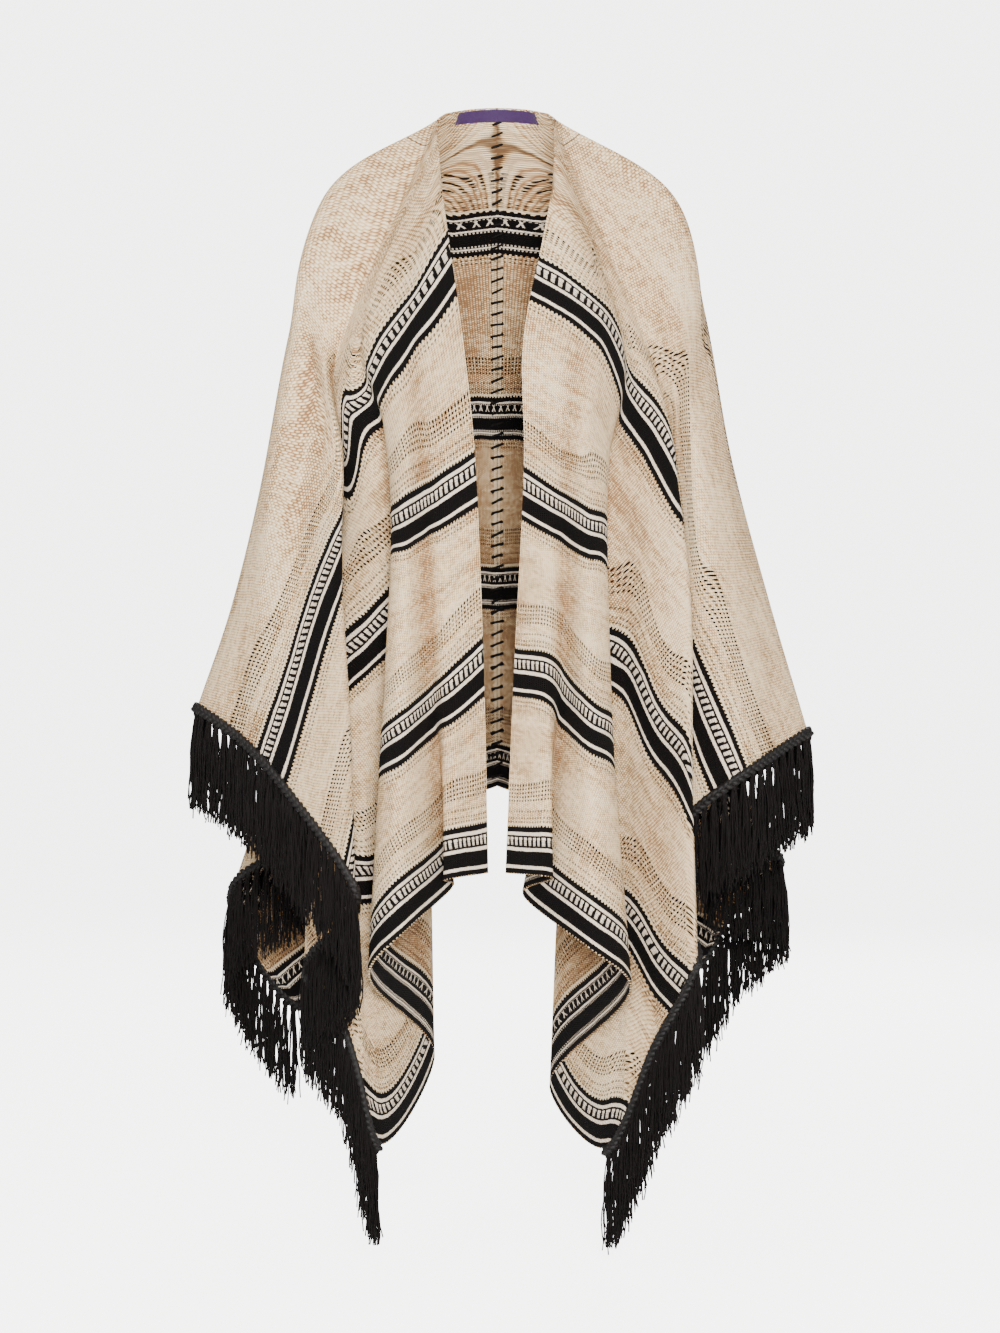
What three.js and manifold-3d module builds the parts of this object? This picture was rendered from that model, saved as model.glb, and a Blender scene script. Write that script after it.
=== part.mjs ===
// Open-front knitted poncho (ruana) in its worn shape, with no wearer.
// Two wide knitted panels hang over the shoulders and meet at a centre-back seam.
// Millimetres, +Z up, the front faces -Y, origin at the top of the seam, at the nape.
import * as THREE from "three";
import { mergeVertices } from "three/addons/utils/BufferGeometryUtils.js";
import Module from "manifold-3d";

const manifold = await Module();
manifold.setup();

// Sizes of the cut and of what is sewn on.
const PANEL = { halfWidth: 850, length: 840, neckCut: 70, wall: 2.5 };
const SEAM_GAP = 0.3;
const BRAID = { wide: 10, thick: 3 };
const LOCK = { pitch: 17, long: 104, root: 3, belly: 4.6, tip: 2.6 };
// How a lock may lean from straight down: out from the edge, and along X.
const LEANS = [[0.3, 0], [0.5, 0.06], [0.15, -0.06], [0.3, 0.14], [0.3, -0.14], [0.8, 0], [0, 0.2], [0, -0.2], [1.2, 0]];
const LABEL = { drop: 3, tall: 13, thick: 1, columns: 12 };
const SMOOTH = { across: 3, down: 3 };

// How the fold tables are read: the front view has 1000 x 1333 places and the
// eye is level with the waist, 3 m in front of the shoulder line.
const SIGHT = { distance: 3000, focal: 2542, centre: 497, level: 666.5 };
const NAPE = { down: 108, behind: 60 };

// Each row is one fold line. Its six stations run from the neck out to the hem,
// or to the fringed edge: [right, down, behind], the first two as seen in the
// front view, the last in mm behind the shoulder line.
const RIGHT_FOLDS = {
  front_edge: [[441, 182, -62], [449, 240, -118], [464, 345, -150], [476, 470, -155], [484, 680, -152], [488, 873, -155]],
  strip_fold: [[440, 172, -55], [426, 262, -124], [431, 365, -152], [438, 490, -158], [446, 700, -165], [446, 880, -176]],
  strip_tuck: [[440, 162, -50], [405, 285, -112], [415, 385, -145], [424, 505, -150], [434, 712, -142], [453, 886, -122]],
  front_swell: [[439, 152, -42], [385, 305, -108], [398, 410, -150], [404, 525, -170], [402, 735, -190], [402, 934, -208]],
  top_fold: [[438, 145, -35], [368, 315, -98], [385, 425, -130], [392, 540, -148], [381, 755, -158], [369, 972, -168]],
  deep_tuck: [[438, 140, -30], [362, 330, -88], [392, 450, -92], [418, 560, -72], [428, 790, -10], [434, 1057, 62]],
  under_layer: [[437, 135, -25], [352, 345, -78], [364, 470, -86], [370, 600, -82], [366, 850, -78], [378, 1144, -76]],
  under_edge: [[437, 131, -20], [345, 350, -68], [350, 480, -76], [345, 610, -74], [338, 830, -74], [344, 1019, -90]],
  wing_tuck: [[437, 128, -14], [340, 350, -55], [341, 460, -54], [330, 580, -42], [312, 770, -22], [305, 965, -8]],
  wing_edge: [[437, 125, -8], [336, 330, -52], [342, 460, -94], [341, 570, -120], [350, 730, -150], [355, 891, -172]],
  wing_front: [[437, 123, -5], [325, 280, -42], [315, 400, -60], [305, 510, -80], [298, 640, -104], [290, 789, -128]],
  wing_bend: [[437, 122, -2], [316, 235, -25], [290, 350, -38], [270, 470, -46], [255, 600, -56], [243, 736, -66]],
  arm_line: [[437, 121, 0], [328, 192, 0], [290, 335, 0], [262, 485, 0], [232, 608, 0], [199, 705, 0]],
  back_bend: [[438, 120, 6], [322, 235, 28], [293, 350, 42], [274, 470, 48], [262, 600, 50], [252, 745, 46]],
  back_wing: [[440, 118, 14], [335, 270, 75], [318, 400, 96], [305, 520, 100], [296, 660, 88], [288, 795, 66]],
  back_swell: [[443, 116, 22], [350, 300, 95], [338, 430, 122], [326, 560, 126], [316, 700, 112], [306, 830, 92]],
  back_tuck: [[446, 114, 28], [362, 315, 98], [345, 440, 128], [324, 580, 142], [282, 740, 138], [236, 882, 134]],
  back_fringe: [[450, 113, 34], [372, 325, 105], [356, 450, 136], [334, 600, 160], [294, 780, 186], [254, 953, 206]],
  back_corner: [[455, 112, 40], [385, 322, 112], [376, 450, 134], [364, 600, 150], [334, 800, 164], [303, 1004, 176]],
  back_deep: [[461, 111, 46], [400, 315, 122], [398, 440, 128], [392, 580, 118], [378, 740, 90], [362, 912, 58]],
  back_inner: [[467, 110, 50], [420, 308, 130], [416, 440, 148], [414, 570, 164], [414, 710, 188], [416, 868, 214]],
  back_mid: [[476, 109, 54], [443, 300, 134], [444, 420, 136], [442, 550, 126], [438, 690, 112], [434, 826, 98]],
  back_seam_side: [[485, 108.4, 57], [469, 280, 134], [469, 400, 152], [469, 530, 164], [468, 660, 178], [466, 798, 190]],
  centre_seam: [[497, 108, 60], [497, 272, 126], [497, 392, 144], [497, 522, 146], [497, 655, 148], [497, 786, 150]],
};

const LEFT_FOLDS = {
  front_edge: [[554, 182, -62], [541, 248, -118], [523, 345, -150], [524, 470, -155], [514, 680, -152], [506, 873, -155]],
  strip_fold: [[554, 172, -55], [567, 262, -122], [557, 365, -152], [552, 490, -158], [549, 700, -165], [552, 878, -176]],
  strip_tuck: [[554, 162, -50], [590, 285, -114], [576, 388, -145], [567, 508, -150], [560, 712, -142], [523, 893, -118]],
  front_swell: [[555, 152, -42], [606, 312, -106], [593, 420, -148], [587, 532, -168], [588, 738, -190], [588, 947, -208]],
  top_fold: [[555, 145, -35], [620, 335, -94], [609, 450, -126], [607, 560, -146], [614, 765, -158], [631, 985, -166]],
  deep_tuck: [[555, 140, -30], [625, 355, -86], [602, 480, -90], [582, 610, -70], [562, 850, -10], [550, 1087, 62]],
  under_layer: [[555, 135, -25], [634, 365, -76], [626, 490, -84], [624, 640, -82], [618, 900, -66], [606, 1148, -50]],
  under_edge: [[555, 132, -20], [645, 372, -72], [650, 495, -92], [654, 650, -104], [658, 880, -112], [655, 1046, -106]],
  wing_edge: [[555, 129, -14], [657, 385, -68], [678, 500, -100], [690, 620, -126], [692, 790, -150], [697, 957, -156]],
  wing_tuck: [[555, 127, -10], [655, 372, -52], [667, 470, -46], [672, 590, -28], [664, 740, 0], [643, 889, 34]],
  wing_front: [[556, 125, -6], [664, 345, -44], [684, 440, -54], [692, 545, -60], [694, 680, -64], [692, 811, -66]],
  wing_bend: [[556, 123, -3], [672, 290, -38], [693, 400, -52], [709, 510, -62], [726, 640, -72], [739, 774, -82]],
  wing_round: [[556, 122, -1], [682, 240, -20], [705, 360, -28], [727, 480, -34], [752, 610, -40], [776, 748, -46]],
  arm_line: [[556, 121, 0], [671, 194, 0], [704, 312, 0], [731, 460, 0], [768, 600, 0], [806, 729, 0]],
  back_bend: [[555, 120, 6], [674, 240, 28], [702, 350, 42], [724, 470, 48], [746, 600, 50], [764, 760, 44]],
  back_wing: [[553, 118, 14], [661, 270, 75], [678, 400, 96], [691, 520, 98], [704, 660, 84], [716, 800, 60]],
  back_swell: [[550, 116, 22], [646, 300, 95], [658, 430, 120], [670, 560, 122], [684, 700, 106], [706, 828, 88]],
  back_tuck: [[547, 114, 28], [634, 315, 98], [651, 440, 126], [676, 580, 138], [718, 730, 134], [777, 856, 130]],
  back_fringe: [[543, 113, 34], [624, 325, 105], [642, 450, 136], [664, 590, 158], [698, 750, 184], [734, 906, 204]],
  back_corner: [[538, 112, 40], [611, 320, 112], [620, 450, 134], [632, 600, 150], [662, 785, 164], [695, 965, 176]],
  back_deep: [[533, 111, 46], [596, 315, 122], [598, 440, 128], [604, 580, 118], [618, 735, 90], [636, 900, 58]],
  back_inner: [[527, 110, 50], [577, 308, 130], [580, 440, 148], [582, 570, 164], [582, 705, 188], [580, 860, 214]],
  back_mid: [[518, 109, 54], [552, 300, 134], [551, 420, 136], [553, 550, 126], [557, 690, 112], [561, 824, 98]],
  back_seam_side: [[509, 108.4, 57], [525, 280, 134], [525, 400, 152], [525, 530, 164], [526, 660, 178], [528, 798, 190]],
  centre_seam: [[497, 108, 60], [497, 272, 126], [497, 392, 144], [497, 522, 146], [497, 655, 148], [497, 786, 150]],
};

// Where a fold table's reading lies, in mm from the nape.
function place([right, down, behind]) {
  const perStep = (depth) => (SIGHT.distance + depth) / SIGHT.focal;
  const height = (row, depth) => (SIGHT.level - row) * perStep(depth);
  return new THREE.Vector3(
    (right - SIGHT.centre) * perStep(behind),
    behind - NAPE.behind,
    height(down, behind) - height(NAPE.down, NAPE.behind),
  );
}

// A smooth line through points, at places counted in the same units as knots.
function smoothLine(points, knots, places) {
  const last = points.length - 1;
  const slope = (i) => {
    if (i === 0 || i === last) {
      const j = i === 0 ? 0 : last - 1;
      return points[j + 1].clone().sub(points[j]).divideScalar(knots[j + 1] - knots[j]);
    }
    const before = knots[i] - knots[i - 1];
    const after = knots[i + 1] - knots[i];
    const into = points[i].clone().sub(points[i - 1]).divideScalar(before);
    const out = points[i + 1].clone().sub(points[i]).divideScalar(after);
    return into.multiplyScalar(after).add(out.multiplyScalar(before)).divideScalar(before + after);
  };
  const slopes = points.map((_, i) => slope(i));
  return places.map((at) => {
    let i = 0;
    while (i < last - 1 && at >= knots[i + 1]) i += 1;
    const run = knots[i + 1] - knots[i];
    const s = (at - knots[i]) / run;
    return points[i].clone().multiplyScalar(2 * s ** 3 - 3 * s ** 2 + 1)
      .addScaledVector(slopes[i], run * (s ** 3 - 2 * s ** 2 + s))
      .addScaledVector(points[i + 1], 3 * s ** 2 - 2 * s ** 3)
      .addScaledVector(slopes[i + 1], run * (s ** 3 - s ** 2));
  });
}

// The middle of a panel's cloth as a net of points: net[fold][station].
function drape(folds) {
  const lines = Object.values(folds).map((row) => row.map(place));
  const stations = lines[0].map((_, i) => i);
  const down = Array.from({ length: (stations.length - 1) * SMOOTH.down + 1 }, (_, i) => i / SMOOTH.down);
  const long = lines.map((line) => smoothLine(line, stations, down));
  const rounds = down.map((_, row) => {
    const points = long.map((line) => line[row]);
    const knots = [0];
    points.slice(1).forEach((point, i) => knots.push(knots[i] + Math.sqrt(point.distanceTo(points[i])) + 0.5));
    const places = [];
    for (let i = 0; i < points.length - 1; i += 1) {
      for (let k = 0; k < SMOOTH.across; k += 1) {
        places.push(knots[i] + ((knots[i + 1] - knots[i]) * k) / SMOOTH.across);
      }
    }
    places.push(knots.at(-1));
    return smoothLine(points, knots, places);
  });
  return rounds[0].map((_, column) => rounds.map((round) => round[column]));
}

// The outward direction at each point of a net; turn is 1 for the right panel, -1 for the left.
function outward(net, turn) {
  const at = (i, j) => net[THREE.MathUtils.clamp(i, 0, net.length - 1)][THREE.MathUtils.clamp(j, 0, net[0].length - 1)];
  return net.map((line, i) => line.map((_, j) => {
    const round = at(i + 1, j).clone().sub(at(i - 1, j)).normalize();
    const down = at(i, j + 1).clone().sub(at(i, j - 1)).normalize();
    const normal = round.cross(down).multiplyScalar(turn);
    if (i === net.length - 1) normal.x = 0;
    return normal.normalize();
  }));
}

// A closed wall on a net, from one distance outside its middle to another.
function wall(net, normals, from, to, turn) {
  const columns = net.length;
  const rows = net[0].length;
  const positions = [];
  const index = [];
  for (const distance of [to, from]) {
    net.forEach((line, i) => line.forEach((point, j) => {
      positions.push(...point.clone().addScaledVector(normals[i][j], distance));
    }));
  }
  const corner = (i, j, side) => side * columns * rows + i * rows + j;
  const face = (a, b, c, d) => (turn > 0 ? index.push(a, b, c, a, c, d) : index.push(a, c, b, a, d, c));
  for (let i = 0; i < columns - 1; i += 1) {
    for (let j = 0; j < rows - 1; j += 1) {
      face(corner(i, j, 0), corner(i + 1, j, 0), corner(i + 1, j + 1, 0), corner(i, j + 1, 0));
      face(corner(i, j, 1), corner(i, j + 1, 1), corner(i + 1, j + 1, 1), corner(i + 1, j, 1));
    }
  }
  const edge = [];
  for (let i = 0; i < columns - 1; i += 1) edge.push([i, 0]);
  for (let j = 0; j < rows - 1; j += 1) edge.push([columns - 1, j]);
  for (let i = columns - 1; i > 0; i -= 1) edge.push([i, rows - 1]);
  for (let j = rows - 1; j > 0; j -= 1) edge.push([0, j]);
  edge.forEach(([i, j], k) => {
    const [p, q] = edge[(k + 1) % edge.length];
    face(corner(i, j, 1), corner(p, q, 1), corner(p, q, 0), corner(i, j, 0));
  });
  const geometry = new THREE.BufferGeometry();
  geometry.setAttribute("position", new THREE.Float32BufferAttribute(positions, 3));
  geometry.setIndex(index);
  return geometry;
}

const toSolid = (geometry) => {
  geometry.deleteAttribute("normal");
  geometry.deleteAttribute("uv");
  const clean = mergeVertices(geometry, 1e-4);
  return new manifold.Manifold(new manifold.Mesh({
    numProp: 3,
    vertProperties: clean.attributes.position.array,
    triVerts: new Uint32Array(clean.index.array),
  }));
};

const fromSolid = (solid) => {
  const mesh = solid.getMesh();
  const geometry = new THREE.BufferGeometry();
  geometry.setAttribute("position", new THREE.BufferAttribute(new Float32Array(mesh.vertProperties), 3));
  geometry.setIndex([...mesh.triVerts]);
  return geometry;
};

// A closed bar through sections of three corners each.
function bar(sections) {
  const positions = sections.flat().flatMap((point) => [...point]);
  const index = [];
  for (let k = 0; k < sections.length - 1; k += 1) {
    for (let c = 0; c < 3; c += 1) {
      const a = 3 * k + c;
      const b = 3 * k + ((c + 1) % 3);
      index.push(a, b, b + 3, a, b + 3, a + 3);
    }
  }
  const end = 3 * (sections.length - 1);
  index.push(0, 2, 1, end, end + 1, end + 2);
  const geometry = new THREE.BufferGeometry();
  geometry.setAttribute("position", new THREE.Float32BufferAttribute(positions, 3));
  geometry.setIndex(index);
  return geometry;
}

// A bar as a solid, whichever way round its sections were given.
function solidBar(sections) {
  const solid = toSolid(bar(sections));
  return solid.volume() > 0 ? solid : toSolid(bar(sections.toReversed()));
}

const largest = (solid) => solid.decompose().sort((a, b) => b.volume() - a.volume())[0];

// The braid along the fringed edge, with its locks, as one solid. A lock leans
// until it hangs clear of the walls and of the locks before it.
function fringe(net, normals, folds, turn, walls) {
  const names = Object.keys(folds);
  const first = names.indexOf("under_layer") * SMOOTH.across;
  const last = names.indexOf("back_corner") * SMOOTH.across;
  const edge = net.slice(first, last + 1).map((line, k) => ({
    point: line.at(-1),
    off: line.at(-1).clone().sub(line.at(-2)).normalize(),
    normal: normals[first + k].at(-1),
  }));
  const beyond = (out) => ({ point, off }) => point.clone().addScaledVector(off, out);
  const stripNet = edge.map((place) => [SEAM_GAP, BRAID.wide].map((out) => beyond(out)(place)));
  const stripNormals = edge.map(({ normal }) => [normal, normal]);
  const reach = PANEL.wall / 2 + SEAM_GAP;
  let solid = toSolid(wall(stripNet, stripNormals, -BRAID.thick / 2, BRAID.thick / 2, turn));
  solid = largest(solid.subtract(toSolid(wall(net, normals, -reach, reach, turn))));

  const lock = (root, off, splay, sway) => {
    const hang = new THREE.Vector3(sway, sway / 2, -1).addScaledVector(off, splay).normalize();
    const side = new THREE.Vector3(1, 0, 0).cross(hang).normalize();
    const front = hang.clone().cross(side).normalize();
    const ring = (drop, half) => [0, 1, 2].map((c) => {
      const angle = (c * 2 * Math.PI) / 3;
      return root.clone().addScaledVector(hang, drop)
        .addScaledVector(side, half * Math.cos(angle)).addScaledVector(front, half * Math.sin(angle));
    });
    return solidBar([ring(0, LOCK.root), ring(LOCK.long * 0.55, LOCK.belly), ring(LOCK.long, LOCK.tip)]);
  };

  const hung = [];
  let travelled = LOCK.pitch / 2;
  for (let k = 0; k < edge.length - 1; k += 1) {
    const run = edge[k].point.distanceTo(edge[k + 1].point);
    for (; travelled < run; travelled += LOCK.pitch) {
      const mix = (key) => edge[k][key].clone().lerp(edge[k + 1][key], travelled / run);
      const off = mix("off").normalize();
      const root = mix("point").addScaledVector(off, BRAID.wide * 0.65);
      const clear = LEANS.map(([splay, sway]) => lock(root, off, splay, sway))
        .find((one) => [...walls, ...hung].every((other) => one.intersect(other).isEmpty()));
      if (clear) hung.push(clear);
    }
    travelled -= run;
  }
  hung.forEach((one) => { solid = solid.add(one); });
  return fromSolid(largest(solid));
}

// The neck label: one band on the inner face, over the top of both panels.
function label(nets) {
  const [right, left] = nets;
  const strip = (net, turn) => {
    const normals = outward(net, turn);
    const from = net.length - 1 - LABEL.columns;
    return net.slice(from).map((line, k) => {
      const way = line[1].clone().sub(line[0]).normalize();
      const points = [LABEL.drop, LABEL.drop + LABEL.tall].map((drop) => line[0].clone().addScaledVector(way, drop));
      return { points, normal: normals[from + k][0] };
    });
  };
  const columns = [...strip(right, 1).slice(0, -1), ...strip(left, -1).reverse()];
  const inside = -(PANEL.wall / 2 + SEAM_GAP);
  return wall(
    columns.map((column) => column.points),
    columns.map((column) => [column.normal, column.normal]),
    inside - LABEL.thick,
    inside,
    1,
  );
}

const KNIT = new THREE.MeshStandardMaterial({ name: "knit_cloth", color: 0xcdb594, roughness: 0.9 });
const TRIM = new THREE.MeshStandardMaterial({ name: "black_trim", color: 0x17151a, roughness: 0.85 });
const TAG = new THREE.MeshStandardMaterial({ name: "label_satin", color: 0x3f2a78, roughness: 0.5 });

const poncho = new THREE.Group();
poncho.name = "knitted_poncho";

function add(name, geometry, material) {
  const mesh = new THREE.Mesh(geometry, material);
  mesh.name = name;
  mesh.geometry.computeVertexNormals();
  poncho.add(mesh);
}

const panels = [["right", RIGHT_FOLDS, 1], ["left", LEFT_FOLDS, -1]].map(([side, folds, turn]) => {
  const net = drape(folds);
  net.at(-1).forEach((point) => { point.x = (-turn * SEAM_GAP) / 2; });
  const normals = outward(net, turn);
  const cloth = wall(net, normals, -PANEL.wall / 2, PANEL.wall / 2, turn);
  add(`${side}_panel`, cloth, KNIT);
  return { side, folds, turn, net, normals, solid: toSolid(cloth.clone()) };
});
const walls = panels.map((panel) => panel.solid);
panels.forEach(({ side, folds, turn, net, normals }) => {
  add(`${side}_fringe`, fringe(net, normals, folds, turn, walls), TRIM);
});
add("neck_label", label(panels.map((panel) => panel.net)), TAG);

export default poncho;
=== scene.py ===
"""The finish of an open-front knitted poncho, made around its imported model.

Two wide knitted panels hang over the shoulders and meet at a seam down the middle
of the back. Their outer edges carry a black plait and a fringe of yarn tassels,
the seam is whip stitched in black, and a plain label crosses the neck.
Metres, +Z up, the front faces -Y, origin at the top of the seam, at the nape.
"""

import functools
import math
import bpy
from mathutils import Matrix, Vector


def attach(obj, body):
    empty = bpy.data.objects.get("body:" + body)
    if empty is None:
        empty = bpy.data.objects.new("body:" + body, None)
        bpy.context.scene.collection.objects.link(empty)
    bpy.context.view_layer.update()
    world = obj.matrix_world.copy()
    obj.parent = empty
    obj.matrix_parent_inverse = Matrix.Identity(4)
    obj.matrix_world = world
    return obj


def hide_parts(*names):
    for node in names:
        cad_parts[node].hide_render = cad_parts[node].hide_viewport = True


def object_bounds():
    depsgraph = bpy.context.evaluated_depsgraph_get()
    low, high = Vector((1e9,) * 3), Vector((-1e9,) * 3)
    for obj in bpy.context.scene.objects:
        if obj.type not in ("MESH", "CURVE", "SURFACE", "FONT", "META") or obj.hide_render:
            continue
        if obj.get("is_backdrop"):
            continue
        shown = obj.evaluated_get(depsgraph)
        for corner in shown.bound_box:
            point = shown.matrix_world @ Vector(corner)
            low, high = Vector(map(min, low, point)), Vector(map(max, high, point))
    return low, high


bl_info = {
    "name": "Knitted Poncho",
    "version": (1, 0, 0),
    "blender": (4, 5, 0),
    "location": "3D View > Sidebar > Poncho",
    "description": "Builds the knit, plaits, tassels, stitches and label of a poncho",
    "category": "Add Mesh",
}

import bpy
import numpy as np
from mathutils import Matrix, Vector

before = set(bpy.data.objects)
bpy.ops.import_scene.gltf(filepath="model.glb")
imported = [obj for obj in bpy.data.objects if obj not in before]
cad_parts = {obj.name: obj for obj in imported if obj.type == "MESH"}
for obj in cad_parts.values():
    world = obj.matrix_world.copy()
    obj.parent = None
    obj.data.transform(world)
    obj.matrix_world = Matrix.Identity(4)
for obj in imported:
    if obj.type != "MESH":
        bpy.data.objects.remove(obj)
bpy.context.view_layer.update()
MM = 0.001

# How the fold tables are read: the front view has 1000 x 1333 places and the eye
# is level with the waist, 3 m in front of the shoulder line.
SIGHT_DISTANCE = 3000
SIGHT_FOCAL = 2542
SIGHT_CENTRE = 497
SIGHT_LEVEL = 666.5
NAPE_DOWN = 108
NAPE_BEHIND = 60
VIEW_LONG_SIDE = 1333
VIEW_CENTRE = 500

# Each row is one fold line. Its six stations run from the neck out to the hem, or
# to the fringed edge: right, down, behind and fall. The first two are seen in the
# front view, the third is mm behind the shoulder line, and the fall is mm of cloth
# from the shoulder line, below zero at the back.
RIGHT_FOLDS = {
    "front_edge": [(441, 182, -62, 62), (449, 240, -118, 129), (464, 345, -150, 244),
                   (476, 470, -155, 383), (484, 680, -152, 618), (488, 873, -155, 840)],
    "strip_fold": [(440, 172, -55, 52), (426, 262, -124, 118), (431, 365, -152, 221),
                   (438, 490, -158, 377), (446, 700, -165, 603), (446, 880, -176, 840)],
    "strip_tuck": [(440, 162, -50, 42), (405, 285, -112, 111), (415, 385, -145, 221),
                   (424, 505, -150, 384), (434, 712, -142, 606), (453, 886, -122, 840)],
    "front_swell": [(439, 152, -42, 33), (385, 305, -108, 103), (398, 410, -150, 224),
                    (404, 525, -170, 392), (402, 735, -190, 601), (402, 934, -208, 840)],
    "top_fold": [(438, 145, -35, 26), (368, 315, -98, 87), (385, 425, -130, 213),
                 (392, 540, -148, 400), (381, 755, -158, 603), (369, 972, -168, 840)],
    "deep_tuck": [(438, 140, -30, 24), (362, 330, -88, 88), (392, 450, -92, 215),
                  (418, 560, -72, 372), (428, 790, -10, 576), (434, 1057, 62, 840)],
    "under_layer": [(437, 135, -25, 20), (352, 345, -78, 98), (364, 470, -86, 205),
                    (370, 600, -82, 352), (366, 850, -78, 576), (378, 1144, -76, 840)],
    "under_edge": [(437, 131, -20, 16), (345, 350, -68, 91), (350, 480, -76, 170),
                   (345, 610, -74, 330), (338, 830, -74, 545), (344, 1019, -90, 690)],
    "wing_tuck": [(437, 128, -14, 10), (340, 350, -55, 84), (341, 460, -54, 145),
                  (330, 580, -42, 240), (312, 770, -22, 380), (305, 965, -8, 575)],
    "wing_edge": [(437, 125, -8, 6), (336, 330, -52, 72), (342, 460, -94, 95),
                  (341, 570, -120, 168), (350, 730, -150, 300), (355, 891, -172, 410)],
    "wing_front": [(437, 123, -5, 3), (325, 280, -42, 50), (315, 400, -60, 70),
                   (305, 510, -80, 84), (298, 640, -104, 133), (290, 789, -128, 192)],
    "wing_bend": [(437, 122, -2, 1), (316, 235, -25, 30), (290, 350, -38, 45),
                  (270, 470, -46, 55), (255, 600, -56, 75), (243, 736, -66, 105)],
    "arm_line": [(437, 121, 0, 0), (328, 192, 0, 0), (290, 335, 0, 0),
                 (262, 485, 0, 0), (232, 608, 0, 0), (199, 705, 0, 0)],
    "back_bend": [(438, 120, 6, 0), (322, 235, 28, -30), (293, 350, 42, -50),
                  (274, 470, 48, -65), (262, 600, 50, -80), (252, 745, 46, -100)],
    "back_wing": [(440, 118, 14, 0), (335, 270, 75, -60), (318, 400, 96, -90),
                  (305, 520, 100, -115), (296, 660, 88, -160), (288, 795, 66, -220)],
    "back_swell": [(443, 116, 22, 0), (350, 300, 95, -105), (338, 430, 122, -165),
                   (326, 560, 126, -225), (316, 700, 112, -300), (306, 830, 92, -340)],
    "back_tuck": [(446, 114, 28, 0), (362, 315, 98, -145), (345, 440, 128, -235),
                  (324, 580, 142, -325), (282, 740, 138, -420), (236, 882, 134, -505)],
    "back_fringe": [(450, 113, 34, 0), (372, 325, 105, -180), (356, 450, 136, -295),
                    (334, 600, 160, -410), (294, 780, 186, -555), (254, 953, 206, -700)],
    "back_corner": [(455, 112, 40, 0), (385, 322, 112, -215), (376, 450, 134, -335),
                    (364, 600, 150, -465), (334, 800, 164, -635), (303, 1004, 176, -840)],
    "back_deep": [(461, 111, 46, 0), (400, 315, 122, -235), (398, 440, 128, -360),
                  (392, 580, 118, -500), (378, 740, 90, -650), (362, 912, 58, -840)],
    "back_inner": [(467, 110, 50, 0), (420, 308, 130, -238), (416, 440, 148, -372),
                   (414, 570, 164, -524), (414, 710, 188, -686), (416, 868, 214, -840)],
    "back_mid": [(476, 109, 54, 0), (443, 300, 134, -230), (444, 420, 136, -374),
                 (442, 550, 126, -534), (438, 690, 112, -697), (434, 826, 98, -840)],
    "back_seam_side": [(485, 108.4, 57, 0), (469, 280, 134, -210), (469, 400, 152, -368),
                       (469, 530, 164, -531), (468, 660, 178, -688), (466, 798, 190, -840)],
    "centre_seam": [(497, 108, 60, 0), (497, 272, 126, -204), (497, 392, 144, -359),
                    (497, 522, 146, -521), (497, 655, 148, -683), (497, 786, 150, -840)],
}

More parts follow.
